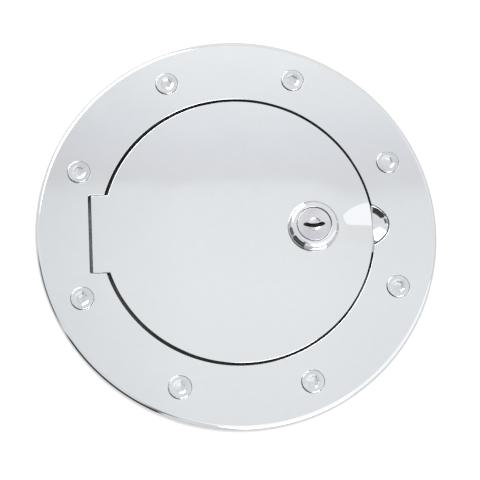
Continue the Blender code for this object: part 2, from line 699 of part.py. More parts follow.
def main():
    clear_scene()
    chrome = material("chrome_plate", (0.86, 0.87, 0.88), 1.0, 0.06)
    door_chrome = material("door_chrome", (0.86, 0.87, 0.88), 1.0, 0.06)
    lock_chrome = material("lock_chrome", (0.82, 0.82, 0.84), 1.0, 0.10)
    rubber = material("black_rubber", (0.02, 0.02, 0.02), 0.0, 0.75)
    steel = material("stainless_steel", (0.62, 0.62, 0.62), 1.0, 0.25)
    spring_steel = material("spring_steel", (0.45, 0.45, 0.46), 1.0, 0.30)
    zinc = material("zinc_plate", (0.66, 0.67, 0.70), 1.0, 0.35)
    brass = material("brass", (0.78, 0.60, 0.30), 1.0, 0.30)

    hinge = empty("door_hinge_axis", (PIN_X, 0.0, PIN_Z))
    lock_axis = empty("lock_axis", (LOCK_X, 0.0, TOP_Z), hinge)

    deck_ring(chrome)
    gaskets(rubber)
    door(door_chrome, hinge)
    hinge_parts(steel, spring_steel)
    lock_shell(lock_chrome, rubber, zinc, hinge)
    lock_core(lock_chrome, brass, zinc, steel, lock_axis)
    deck_fixings(steel)
    bpy.context.view_layer.update()


main()
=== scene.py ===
"""Chrome flush deck fill door: the detailed model, its materials and its studio."""
import json
import math

import bmesh
import bpy
from mathutils import Matrix, Vector


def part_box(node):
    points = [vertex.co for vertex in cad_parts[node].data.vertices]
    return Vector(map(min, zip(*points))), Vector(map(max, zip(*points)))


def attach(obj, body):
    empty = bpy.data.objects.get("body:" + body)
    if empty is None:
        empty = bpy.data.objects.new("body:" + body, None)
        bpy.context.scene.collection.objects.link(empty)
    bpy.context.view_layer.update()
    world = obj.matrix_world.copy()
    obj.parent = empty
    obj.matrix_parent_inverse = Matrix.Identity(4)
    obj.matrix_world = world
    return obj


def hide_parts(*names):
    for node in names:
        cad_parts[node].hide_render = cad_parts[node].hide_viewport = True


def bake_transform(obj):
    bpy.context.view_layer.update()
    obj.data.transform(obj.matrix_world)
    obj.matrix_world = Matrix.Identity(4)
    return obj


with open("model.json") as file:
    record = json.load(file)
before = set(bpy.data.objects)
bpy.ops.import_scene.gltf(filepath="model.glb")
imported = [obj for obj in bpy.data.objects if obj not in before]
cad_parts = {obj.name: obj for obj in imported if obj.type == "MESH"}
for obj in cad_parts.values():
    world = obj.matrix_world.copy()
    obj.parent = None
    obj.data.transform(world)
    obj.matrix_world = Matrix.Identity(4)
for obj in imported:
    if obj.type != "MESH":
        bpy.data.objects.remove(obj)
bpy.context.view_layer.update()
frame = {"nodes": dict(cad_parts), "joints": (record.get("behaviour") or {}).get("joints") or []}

MM = 0.001
FINE = 256

# Places and sizes that the frame gives
JOINTS = {joint["name"]: joint for joint in frame["joints"]}
PIN = Vector(JOINTS["door_hinge"]["pos_m"])
LOCK_X = JOINTS["lock_turn"]["pos_m"][0]
RIM_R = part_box("deck_ring")[1].x
COLLAR_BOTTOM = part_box("deck_ring")[0].z
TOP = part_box("door")[1].z
TAB_HALF_Y = 18.1 * MM
BARREL_R = TOP - PIN.z
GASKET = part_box("deck_gasket")
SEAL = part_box("door_seal")
SEAL_INNER_R = 54.0 * MM
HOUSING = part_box("lock_housing")
LOCK_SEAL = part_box("lock_seal")
LOCK_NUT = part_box("lock_nut")
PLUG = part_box("lock_plug")
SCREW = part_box("deck_screw_1")
FLOOR_Z = SCREW[0].z

# Flange
RIM_ROUND = 2.3 * MM
EDGE = 0.28 * MM
OPENING_R = 63.0 * MM
LEDGE_R = 53.0 * MM
LEDGE_TOP = 2.3 * MM
FLANGE_BOTTOM = 1.6 * MM
SPIGOT_R = 71.0 * MM
SPIGOT_BOTTOM = -1.5 * MM
COLLAR_R = (64.5 * MM, 67.5 * MM)
POCKET_X = (-68.0 * MM, -57.6 * MM)
POCKET_HALF_Y = 18.6 * MM
POCKET_FLOOR = 0.3 * MM
WELL_START_X = 57.5 * MM
COUNTERBORE_R = 5.5 * MM

# Door
DOOR_R = 61.8 * MM
DOOR_SHIFT_X = 0.35 * MM
DOOR_BOTTOM = 4.0 * MM
SPRING_BAY_HALF_Y = 6.3 * MM

# Hinge spring: the coil's mean radius and its half length along the pin
SPRING_R = 1.95 * MM
SPRING_HALF = 4.4 * MM

# Finger pull: a sloping groove in the door, and a bowl in the flange
# given by its centre, half-length, half-width and depth
GROOVE_X = (46.9 * MM, 61.2 * MM)
GROOVE_DEPTH = 2.9 * MM
GROOVE_HALF_Y = 10.6 * MM
WELL = (50.0 * MM, 20.2 * MM, 12.6 * MM, 6.3 * MM)

# Screws
SCREW_CIRCLE_R = 77.4 * MM
SCREW_ANGLES = [math.radians(22.5 + 45.0 * i) for i in range(8)]
SCREW_PLACES = [(SCREW_CIRCLE_R * math.cos(a), SCREW_CIRCLE_R * math.sin(a)) for a in SCREW_ANGLES]
SCREW_SEAT = 6.6 * MM


# ---------------------------------------------------------------- mesh tools

def new_object(name, bm):
    bmesh.ops.recalc_face_normals(bm, faces=bm.faces)
    mesh = bpy.data.meshes.new(name)
    bm.to_mesh(mesh)
    bm.free()
    obj = bpy.data.objects.new(name, mesh)
    bpy.context.scene.collection.objects.link(obj)
    return obj


def bridge(bm, lower, upper):
    """Join two loops of vertices; a loop of one vertex is a pole."""
    count = max(len(lower), len(upper))
    for i in range(count):
        j = (i + 1) % count
        corners = [lower[i % len(lower)], lower[j % len(lower)],
                   upper[j % len(upper)], upper[i % len(upper)]]
        corners = list(dict.fromkeys(corners))
        if len(corners) > 2:
            bm.faces.new(corners)


def loft(name, loops, ring=False):
    """A closed skin over loops of points. A ring's last loop joins its first."""
    bm = bmesh.new()
    rows = [[bm.verts.new(point) for point in loop] for loop in loops]
    for lower, upper in zip(rows, rows[1:]):
        bridge(bm, lower, upper)
    if ring:
        bridge(bm, rows[-1], rows[0])
    else:
        for row in (rows[0], rows[-1]):
            if len(row) > 2:
                bm.faces.new(row)
    return new_object(name, bm)


def around(steps):
    """Evenly spaced angles for one turn."""
    return [2.0 * math.pi * i / steps for i in range(steps)]


def circle(radius, z, steps, centre=(0.0, 0.0)):
    if radius <= 0.0:
        return [(centre[0], centre[1], z)]
    return [(centre[0] + radius * math.cos(a), centre[1] + radius * math.sin(a), z)
            for a in around(steps)]


def cross_circle(radius, x, y, z, steps):
    """A circle about a line along Y."""
    return [(x + radius * math.cos(a), y, z + radius * math.sin(a)) for a in around(steps)]


def ellipse(cx, a, b, z, steps):
    return [(cx + a * math.cos(t), b * math.sin(t), z) for t in around(steps)]


def lathe(name, profile, steps=96, centre=(0.0, 0.0)):
    """Turn (radius, z) points about a vertical line."""
    loops = [circle(r, z, steps, centre) for r, z in profile]
    return loft(name, loops, ring=profile[0][0] > 0.0)


def fillet(cr, cz, radius, start, end, steps=6):
    """A rounded corner in a lathe profile: angles in degrees."""
    turns = [math.radians(start + (end - start) * i / steps) for i in range(steps + 1)]
    return [(cr + radius * math.cos(a), cz + radius * math.sin(a)) for a in turns]


def rounded_box_outline(x0, x1, y0, y1, radius, steps=8):
    """A rectangle with round corners, as (x, y) points."""
    corners = [(x1 - radius, y1 - radius, 0), (x0 + radius, y1 - radius, 90),
               (x0 + radius, y0 + radius, 180), (x1 - radius, y0 + radius, 270)]
    points = []
    for cx, cy, start in corners:
        for i in range(steps + 1):
            a = math.radians(start + 90.0 * i / steps)
            points.append((cx + radius * math.cos(a), cy + radius * math.sin(a)))
    return points


def prism(name, outline, z0, z1):
    return loft(name, [[(x, y, z) for x, y in outline] for z in (z0, z1)])


def flare(top, steps=5):
    """(outward step, height) pairs that round a hole's upper edge over."""
    pairs = []
    for i in range(steps + 1):
        a = 0.5 * math.pi * i / steps
        pairs.append((EDGE * (1.0 - math.cos(a)), top - EDGE + EDGE * math.sin(a)))
    return pairs


def baked(obj):
    """Apply every modifier and keep the object."""
    graph = bpy.context.evaluated_depsgraph_get()
    mesh = bpy.data.meshes.new_from_object(obj.evaluated_get(graph))
    obj.modifiers.clear()
    obj.data = mesh
    return obj


def combine(obj, others, operation="DIFFERENCE"):
    """Cut or join other solids, which are used up."""
    for other in others:
        modifier = obj.modifiers.new(other.name, "BOOLEAN")
        modifier.operation = operation
        modifier.solver = "EXACT"
        modifier.object = other
    baked(obj)
    for other in others:
        bpy.data.objects.remove(other, do_unlink=True)
    return obj


def smooth(obj, angle=32.0):
    """Smooth the rounded faces and keep the flat ones flat."""
    obj.data.shade_smooth()
    obj.data.set_sharp_from_angle(angle=math.radians(angle))
    modifier = obj.modifiers.new("even_normals", "WEIGHTED_NORMAL")
    modifier.keep_sharp = True
    modifier.weight = 100
    return baked(obj)


def place(obj, body, slot, mat, *nodes):
    """Ride on a body, stand for CAD nodes and take a material."""
    obj.data.materials.clear()
    obj.data.materials.append(mat)
    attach(obj, body)
    if nodes:
        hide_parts(*nodes)
    return obj


# ----------------------------------------------------------------- materials

def shader_of(name, colour, metallic, roughness):
    mat = bpy.data.materials.new(name)
    mat.use_nodes = True
    shader = mat.node_tree.nodes["Principled BSDF"]
    shader.inputs["Base Color"].default_value = (*colour, 1.0)
    shader.inputs["Metallic"].default_value = metallic
    shader.inputs["Roughness"].default_value = roughness
    return mat, shader


def noise(mat, scale, detail=4.0, stretch=(1.0, 1.0, 1.0)):
    """A noise value fixed to the object."""
    nodes = mat.node_tree.nodes
    links = mat.node_tree.links
    coords = nodes.new("ShaderNodeTexCoord")
    mapping = nodes.new("ShaderNodeMapping")
    mapping.inputs["Scale"].default_value = stretch
    texture = nodes.new("ShaderNodeTexNoise")
    texture.inputs["Scale"].default_value = scale
    texture.inputs["Detail"].default_value = detail
    links.new(coords.outputs["Object"], mapping.inputs["Vector"])
    links.new(mapping.outputs["Vector"], texture.inputs["Vector"])
    return texture.outputs["Fac"]


def spread(mat, value, low, high):
    """Map a noise value from its usual range on to low to high."""
    node = mat.node_tree.nodes.new("ShaderNodeMapRange")
    node.inputs["From Min"].default_value = 0.3
    node.inputs["From Max"].default_value = 0.7
    node.inputs["To Min"].default_value = low
    node.inputs["To Max"].default_value = high
    mat.node_tree.links.new(value, node.inputs["Value"])
    return node.outputs["Result"]


def tint(mat, shader, value, dark, light):
    """Vary the base colour between two colours."""
    node = mat.node_tree.nodes.new("ShaderNodeMix")
    node.data_type = "RGBA"
    node.inputs["A"].default_value = (*dark, 1.0)
    node.inputs["B"].default_value = (*light, 1.0)
    mat.node_tree.links.new(value, node.inputs["Factor"])
    mat.node_tree.links.new(node.outputs["Result"], shader.inputs["Base Color"])


def bump(mat, shader, value, height, strength=1.0):
    node = mat.node_tree.nodes.new("ShaderNodeBump")
    node.inputs["Strength"].default_value = strength
    node.inputs["Distance"].default_value = height
    mat.node_tree.links.new(value, node.inputs["Height"])
    mat.node_tree.links.new(node.outputs["Normal"], shader.inputs["Normal"])


def chrome(name, colour=(0.578, 0.584, 0.594), rough=(0.02, 0.06)):
    """Mirror plate with faint polishing haze."""
    mat, shader = shader_of(name, colour, 1.0, rough[0])
    haze = noise(mat, 45.0, 5.0)
    mat.node_tree.links.new(spread(mat, haze, *rough), shader.inputs["Roughness"])
    fine = noise(mat, 260.0, 2.0)
    darker = tuple(0.985 * c for c in colour)
    tint(mat, shader, spread(mat, fine, 0.0, 1.0), darker, colour)
    bump(mat, shader, noise(mat, 30.0, 1.0), 0.12 * MM)
    return mat


def metal(name, colour, rough, grain=900.0, stretch=(1.0, 1.0, 1.0), height=0.004 * MM):
    """Machined or stamped metal with a fine grain and patchy tone."""
    mat, shader = shader_of(name, colour, 1.0, rough[0])
    patches = noise(mat, 120.0, 4.0)
    mat.node_tree.links.new(spread(mat, patches, *rough), shader.inputs["Roughness"])
    tint(mat, shader, spread(mat, patches, 0.0, 1.0), tuple(0.86 * c for c in colour), colour)
    bump(mat, shader, noise(mat, grain, 3.0, stretch), height, 0.5)
    return mat


def rubber(name, dark, light):
    mat, shader = shader_of(name, (dark,) * 3, 0.0, 0.7)
    patches = noise(mat, 200.0, 5.0)
    mat.node_tree.links.new(spread(mat, patches, 0.55, 0.8), shader.inputs["Roughness"])
    tint(mat, shader, spread(mat, patches, 0.0, 1.0), (dark,) * 3, (light,) * 3)
    bump(mat, shader, noise(mat, 1800.0, 3.0), 0.02 * MM, 0.6)
    return mat


# Painted shade: a darker, rougher metal for the faces down in the hinge pocket
POCKET_SHADE_METAL = metal("pocket_shade_metal", (0.36, 0.36, 0.37), (0.35, 0.5))
RING_CHROME = chrome("ring_chrome")
DOOR_CHROME = chrome("door_chrome")
LOCK_CHROME = chrome("lock_chrome", (0.568, 0.568, 0.581), (0.03, 0.08))
PLUG_SATIN = metal("plug_satin", (0.5, 0.49, 0.52), (0.22, 0.34), 1400.0)
FASTENER = metal("fastener_steel", (0.56, 0.568, 0.578), (0.06, 0.14))
SPRING_STEEL = metal("spring_steel", (0.32, 0.32, 0.33), (0.22, 0.36))
PIN_STEEL = metal("pin_steel", (0.46, 0.46, 0.46), (0.15, 0.28), 1200.0, (1.0, 0.05, 1.0))
RETAINER_STEEL = metal("retainer_steel", (0.43, 0.43, 0.44), (0.28, 0.42))
ZINC = metal("zinc_plate", (0.47, 0.49, 0.53), (0.25, 0.45))
BRASS = metal("wafer_brass", (0.24, 0.18, 0.09), (0.35, 0.5))
GASKET_RUBBER = rubber("gasket_rubber", 0.012, 0.03)
SEAL_RUBBER = rubber("seal_rubber", 0.028, 0.06)


# -------------------------------------------------------------------- flange

def dish(name, spec, power, root, steps=96):
    """A dished cutter whose upper edge is rounded over."""
    cx, a, b, depth = spec
    a -= EDGE
    b -= EDGE
    levels = 20
    rows = [[(cx, 0.0, TOP - depth)]]
    for i in range(levels, -1, -1):
        rho = math.cos(0.5 * math.pi * i / levels)
        if rho < 0.02:
            continue
        z = TOP - EDGE - (depth - EDGE) * (1.0 - rho ** power) ** root
        rows.append(ellipse(cx, a * rho, b * rho, z, steps))
    for out, z in flare(TOP)[1:]:
        rows.append(ellipse(cx, a + out, b + out, z, steps))
    rows.append(ellipse(cx, a + EDGE, b + EDGE, TOP + 3.0 * MM, steps))
    return loft(name, rows)


def sloping_groove(name):
    """A cutter along X with a soft V section, which starts at nothing and deepens."""
    length = GROOVE_X[1] - GROOVE_X[0]
    rows = []
    for i in range(41):
        x = GROOVE_X[0] + (i / 36) * length
        t = max(0.0, (GROOVE_X[1] - x) / length)
        depth = max(0.004 * MM, GROOVE_DEPTH * (1.0 - t ** 1.35))
        half = max(0.02 * MM, GROOVE_HALF_Y * math.sqrt(max(0.0, 1.0 - t ** 1.7)))
        row = [(x, half * (k / 16 - 1.0), TOP - depth * (1.0 - abs(k / 16 - 1.0) ** 1.12))
               for k in range(33)]
        row += [(x, half, TOP + 2.0 * MM), (x, -half, TOP + 2.0 * MM)]
        rows.append(row)
    return loft(name, rows)


def keep_beyond_x(obj, x):
    """Cut a closed mesh at x and keep its +X side, closed again."""
    bm = bmesh.new()
    bm.from_mesh(obj.data)
    geometry = list(bm.verts) + list(bm.edges) + list(bm.faces)
    cut = bmesh.ops.bisect_plane(bm, geom=geometry, plane_co=(x, 0.0, 0.0),
                                 plane_no=(1.0, 0.0, 0.0), clear_inner=True)
    edges = [e for e in cut["geom_cut"] if isinstance(e, bmesh.types.BMEdge)]
    bmesh.ops.holes_fill(bm, edges=edges, sides=0)
    bmesh.ops.recalc_face_normals(bm, faces=bm.faces)
    bm.to_mesh(obj.data)
    bm.free()
    return obj


def make_flange():
    profile = fillet(OPENING_R + EDGE, TOP - EDGE, EDGE, 90.0, 180.0)
    profile += [(OPENING_R, LEDGE_TOP), (LEDGE_R + 0.3 * MM, LEDGE_TOP),
                (LEDGE_R, LEDGE_TOP - 0.3 * MM), (LEDGE_R, SPIGOT_BOTTOM + 0.3 * MM),
                (LEDGE_R + 0.3 * MM, SPIGOT_BOTTOM), (COLLAR_R[0], SPIGOT_BOTTOM),
                (COLLAR_R[0], COLLAR_BOTTOM + 0.4 * MM), (COLLAR_R[0] + 0.4 * MM, COLLAR_BOTTOM),
                (COLLAR_R[1] - 0.4 * MM, COLLAR_BOTTOM), (COLLAR_R[1], COLLAR_BOTTOM + 0.4 * MM),
                (COLLAR_R[1], SPIGOT_BOTTOM), (SPIGOT_R - 0.4 * MM, SPIGOT_BOTTOM),
                (SPIGOT_R, SPIGOT_BOTTOM + 0.4 * MM), (SPIGOT_R, FLANGE_BOTTOM),
                (RIM_R - 0.5 * MM, FLANGE_BOTTOM), (RIM_R, FLANGE_BOTTOM + 0.5 * MM)]
    profile += fillet(RIM_R - RIM_ROUND, TOP - RIM_ROUND, RIM_ROUND, 0.0, 90.0, 12)
    flange = lathe("flange", profile, FINE)

    lug = prism("lug", rounded_box_outline(56.5 * MM, 66.0 * MM, -7.0 * MM, 7.0 * MM, 1.0 * MM),
                -9.2 * MM, SPIGOT_BOTTOM + 1.0 * MM)
    combine(flange, [lug], "UNION")

    cutters = []
    small = 0.3 * MM
    for i, centre in enumerate(SCREW_PLACES):
        hole = [(0.0, -1.0 * MM), (3.3 * MM, -1.0 * MM), (3.3 * MM, 6.3 * MM),
                (COUNTERBORE_R - small, 6.3 * MM)]
        for k in range(5):
            a = 0.5 * math.pi * k / 4
            hole.append((COUNTERBORE_R - small * math.cos(a), TOP - small + small * math.sin(a)))
        hole += [(COUNTERBORE_R, 10.0 * MM), (0.0, 10.0 * MM)]
        cutters.append(lathe(f"screw_hole_{i}", hole, 64, centre))

    rows = []
    for out, z in [(0.0, POCKET_FLOOR), *flare(TOP), (EDGE, 10.0 * MM)]:
        outline = rounded_box_outline(POCKET_X[0] - out + EDGE, POCKET_X[1] + out,
                                      -POCKET_HALF_Y - out + EDGE, POCKET_HALF_Y + out - EDGE,
                                      0.8 * MM + out)
        rows.append([(x, y, z) for x, y in outline])
    cutters.append(loft("hinge_pocket", rows))

    gap = rounded_box_outline(-76.0 * MM, -50.0 * MM, -34.0 * MM, 34.0 * MM, 0.5 * MM, 2)
    cutters.append(prism("collar_gap", gap, COLLAR_BOTTOM - 2.0 * MM, SPIGOT_BOTTOM))

    for side in (-1.0, 1.0):
        y0, y1 = sorted((side * 18.0 * MM, side * 24.0 * MM))
        slot = rounded_box_outline(PIN.x - 1.4 * MM, PIN.x + 1.4 * MM, y0, y1, 0.1 * MM, 2)
        cutters.append(prism("pin_slot", slot, SPIGOT_BOTTOM - 1.0 * MM, PIN.z + 1.4 * MM))
        hole = [(0.0, SPIGOT_BOTTOM - 1.0 * MM), (1.5 * MM, SPIGOT_BOTTOM - 1.0 * MM),
                (1.5 * MM, 3.6 * MM), (0.0, 3.6 * MM)]
        cutters.append(lathe("tapped_hole", hole, 32, (PIN.x + 1.1 * MM, side * 27.0 * MM)))
    leg = rounded_box_outline(PIN.x + 1.05 * MM, PIN.x + 2.6 * MM, -5.4 * MM, -3.4 * MM, 0.2 * MM, 3)
    cutters.append(prism("spring_slot", leg, SPIGOT_BOTTOM - 1.0 * MM, POCKET_FLOOR + 1.0 * MM))

    cutters.append(keep_beyond_x(dish("finger_well", WELL, 2.0, 0.6), WELL_START_X))
    combine(flange, cutters)
    place(smooth(flange), "flange", "ring_chrome", RING_CHROME, "deck_ring")
    # Painted shade on the flange's faces down in the hinge pocket
    paint_pocket_shade(flange)


def paint_pocket_shade(obj):
    """Painted shade: give the faces down in the hinge pocket a darker, rougher metal than the chrome."""
    obj.data.materials.append(POCKET_SHADE_METAL)
    for face in obj.data.polygons:
        x, y, z = face.center
        if POCKET_X[0] - 0.2 * MM < x < POCKET_X[1] + 0.2 * MM and abs(y) < 19.0 * MM \
                and 0.0 < z < TOP - 0.6 * MM:
            face.material_index = 1


def make_seals():
    gasket_r = (72.0 * MM, GASKET[1].x)
    z0, z1 = GASKET[0].z, GASKET[1].z
    e = 0.25 * MM
    profile = [(gasket_r[0], z0 + e), (gasket_r[0] + e, z0), (gasket_r[1] - e, z0),
               (gasket_r[1], z0 + e), (gasket_r[1], z1 - e), (gasket_r[1] - e, z1),
               (gasket_r[0] + e, z1), (gasket_r[0], z1 - e)]
    gasket = lathe("gasket", profile, FINE)
    holes = []
    for i, centre in enumerate(SCREW_PLACES):
        column = [(0.0, -2.0 * MM), (3.5 * MM, -2.0 * MM), (3.5 * MM, 4.0 * MM), (0.0, 4.0 * MM)]
        holes.append(lathe(f"gasket_hole_{i}", column, 40, centre))
    combine(gasket, holes)
    place(smooth(gasket), "flange", "gasket_rubber", GASKET_RUBBER, "deck_gasket")

    # The door seal: a flat band with two shallow ribs, open at the hinge and the well.
    z0, z1 = SEAL[0].z, SEAL[1].z
    inner, outer = SEAL_INNER_R, SEAL[1].y
    e = 0.2 * MM
    profile = [(inner, z0), (outer, z0)] + fillet(outer - e, z1 - e, e, 0.0, 90.0, 3)
    for share in (0.62, 0.3):
        middle = inner + share * (outer - inner)
        for i in range(9):
            a = math.pi * i / 8
            profile.append((middle + 0.8 * MM * math.cos(a), z1 - 0.3 * MM * math.sin(a)))
    profile += fillet(inner + e, z1 - e, e, 90.0, 180.0, 3)
    seal = lathe("seal", profile, FINE)
    gaps = []
    for name, x0, x1, half in (("hinge_side", -70.0, -57.3, 18.9), ("well_side", 57.2, 70.0, 12.0)):
        outline = rounded_box_outline(x0 * MM, x1 * MM, -half * MM, half * MM, 0.4 * MM, 3)
        gaps.append(prism(name, outline, 0.0, 6.0 * MM))
    combine(seal, gaps)
    place(smooth(seal, 50.0), "flange", "seal_rubber", SEAL_RUBBER, "door_seal")


# ---------------------------------------------------------------------- door

def make_door():
    e = EDGE
    profile = [(0.0, DOOR_BOTTOM), (DOOR_R - e, DOOR_BOTTOM)]
    profile += fillet(DOOR_R - e, DOOR_BOTTOM + e, e, -90.0, 0.0)[1:]
    profile += fillet(DOOR_R - e, TOP - e, e, 0.0, 90.0)
    profile.append((0.0, TOP))
    panel = lathe("door_panel", profile, FINE, (DOOR_SHIFT_X, 0.0))

    def tab_outline(inset):
        """The tab in side view, as (x, z), drawn in by inset."""
        corner = 0.85 * MM
        points = [(PIN.x + 14.0 * MM, DOOR_BOTTOM + inset), (PIN.x + 14.0 * MM, TOP - inset)]
        points += fillet(PIN.x - BARREL_R + corner, TOP - corner, corner - inset, 90.0, 180.0, 10)
        points += fillet(PIN.x, PIN.z, BARREL_R - inset, 180.0, 345.0, 30)
        points.append((PIN.x + BARREL_R - inset, DOOR_BOTTOM + inset))
        return points

    rows = []
    for side in (-1.0, 1.0):
        steps = [0.5 * math.pi * i / 5 for i in range(6)]
        if side > 0.0:
            steps.reverse()
        for a in steps:
            y = side * (TAB_HALF_Y - e + e * math.cos(a))
            rows.append([(x, y, z) for x, z in tab_outline(e * (1.0 - math.sin(a)))])
    combine(panel, [loft("tab", rows)], "UNION")

    def cross_cylinder(name, radius, half):
        """A cylinder about the hinge pin's axis."""
        return loft(name, [cross_circle(radius, PIN.x, y, PIN.z, 48) for y in (-half, half)])

    mouth = rounded_box_outline(PIN.x - 5.0 * MM, PIN.x + 5.0 * MM, -SPRING_BAY_HALF_Y,
                                SPRING_BAY_HALF_Y, 0.2 * MM, 2)
    cutters = [cross_cylinder("spring_bay", 2.6 * MM, SPRING_BAY_HALF_Y),
               prism("mouth", mouth, 0.0, DOOR_BOTTOM)]
    combine(panel, cutters)
    eye = rounded_box_outline(PIN.x + 2.5 * MM, PIN.x + 4.1 * MM, 3.1 * MM, 5.7 * MM, 0.3 * MM, 3)
    combine(panel, [prism("eye", eye, 1.2 * MM, DOOR_BOTTOM + 1.0 * MM)], "UNION")

    leg_z = PIN.z - SPRING_R
    loops = [[(x, SPRING_HALF + 0.7 * MM * math.cos(a), leg_z + 0.7 * MM * math.sin(a))
              for a in around(24)] for x in (PIN.x + 1.0 * MM, PIN.x + 6.0 * MM)]
    lock_hole = [(LOCK_X + x, y) for x, y in double_d(9.8 * MM, 8.5 * MM)]
    combine(panel, [cross_cylinder("pin_hole", 1.35 * MM, 20.0 * MM), loft("eye_hole", loops),
                    prism("lock_hole", lock_hole, 0.0, 12.0 * MM),
                    sloping_groove("scoop")])
    place(smooth(panel), "lid", "door_chrome", DOOR_CHROME, "door")
    # Painted shade on the door tab's faces down in the hinge pocket
    paint_pocket_shade(panel)


def double_d(radius, half_flats, steps=24):
    """A round outline with two flats."""
    limit = math.degrees(math.asin(half_flats / radius))
    points = fillet(0.0, 0.0, radius, -limit, limit, steps)
    return points + [(-x, -y) for x, y in points]


# --------------------------------------------------------------------- hinge

def make_hinge():
    low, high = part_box("hinge_pin")
    r = high.z - PIN.z
    c = 0.35 * MM
    loops = []
    for y, radius in ((low.y, r - c), (low.y + c, r), (high.y - c, r), (high.y, r - c)):
        loops.append(cross_circle(radius, PIN.x, y, PIN.z, 48))
    place(smooth(loft("pin", loops)), "flange", "pin_steel", PIN_STEEL, "hinge_pin")

    spring = tube("spring", spring_path(), 0.35 * MM, 16)
    spring.data.materials.append(SPRING_STEEL)
    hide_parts("hinge_spring")
    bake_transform(spring)

    for number in (1, 2):
        refined(f"pin_retainer_{number}", "retainer", "flange", "retainer_steel", RETAINER_STEEL)
        refined(f"retainer_screw_{number}", "small_screw", "flange", "fastener_steel", FASTENER)


def spring_path():
    """Ring leg, coil about the pin and door leg."""
    coils = 7.75
    points = []
    for i in range(10):
        points.append((SPRING_R, -SPRING_HALF, -8.5 * MM + 8.3 * MM * i / 9))
    steps = int(coils * 40)
    for i in range(steps + 1):
        a = 2.0 * math.pi * coils * i / steps
        y = SPRING_HALF * (2.0 * i / steps - 1.0)
        points.append((SPRING_R * math.cos(a), y, SPRING_R * math.sin(a)))
    for i in range(1, 9):
        points.append((4.9 * MM * i / 8, SPRING_HALF, -SPRING_R))
    return [Vector((PIN.x + x, y, PIN.z + z)) for x, y, z in points]


def tube(name, path, radius, sides):
    """A round wire along a path, with its ends closed."""
    loops = []
    for i, point in enumerate(path):
        tangent = (path[min(i + 1, len(path) - 1)] - path[max(i - 1, 0)]).normalized()
        across = tangent.cross(Vector((0.0, 1.0, 0.0))).normalized()
        up = across.cross(tangent)
        loops.append([point + radius * (math.cos(a) * across + math.sin(a) * up)
                      for a in around(sides)])

    def end_cap(centre, loop):
        return [centre + 0.55 * (p - centre) for p in loop]

    capped = [end_cap(path[0], loops[0]), *loops, end_cap(path[-1], loops[-1])]
    return smooth(loft(name, capped), 60.0)


def refined(node, name, body, slot, mat, width=0.18 * MM):
    """A copy of a CAD node with its edges rounded."""
    number = node.rsplit("_", 1)[-1]
    label = f"{name}_{number}" if number.isdigit() else name
    low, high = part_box(node)
    mesh = frame["nodes"][node].data.copy()
    obj = bpy.data.objects.new(label, mesh)
    bpy.context.scene.collection.objects.link(obj)
    bm = bmesh.new()
    bm.from_mesh(mesh)
    bmesh.ops.remove_doubles(bm, verts=bm.verts, dist=1e-6)
    bmesh.ops.dissolve_limit(bm, angle_limit=math.radians(1.0), verts=bm.verts, edges=bm.edges)
    bm.to_mesh(mesh)
    bm.free()
    modifier = obj.modifiers.new("round", "BEVEL")
    modifier.width = width
    modifier.segments = 3
    modifier.limit_method = "ANGLE"
    modifier.angle_limit = math.radians(40.0)
    baked(obj)
    return place(smooth(obj), body, slot, mat, node)


# ---------------------------------------------------------------------- lock

def threaded(radius, depth, pitch, z0, z1, head, foot, flats=None, steps=64):
    """The loops of a column with a helical thread from z0 to z1.

    foot and head are (radius, z) pairs below and above the thread. flats is half
    the width across two flats that cut the column, if it has them.
    """
    turns = around(steps)

    def loop(radius_at, z):
        row = []
        for a in turns:
            x, y = radius_at(a) * math.cos(a), radius_at(a) * math.sin(a)
            row.append((x, max(-flats, min(flats, y)) if flats else y, z))
        return row

    def plain(pairs):
        return [loop(lambda a: r, z) if r else [(0.0, 0.0, z)] for r, z in pairs]

    rows = plain(foot)
    count = max(2, int((z1 - z0) / pitch * 8))
    for k in range(count + 1):
        z = z0 + (z1 - z0) * k / count
        fade = min(1.0, 3.0 * k / count, 3.0 * (count - k) / count)

        def groove_r(a):
            wave = 0.5 - 0.5 * math.cos(2.0 * math.pi * (z / pitch) - a)
            return radius - depth * wave * fade

        rows.append(loop(groove_r, z))
    return rows + plain(head)


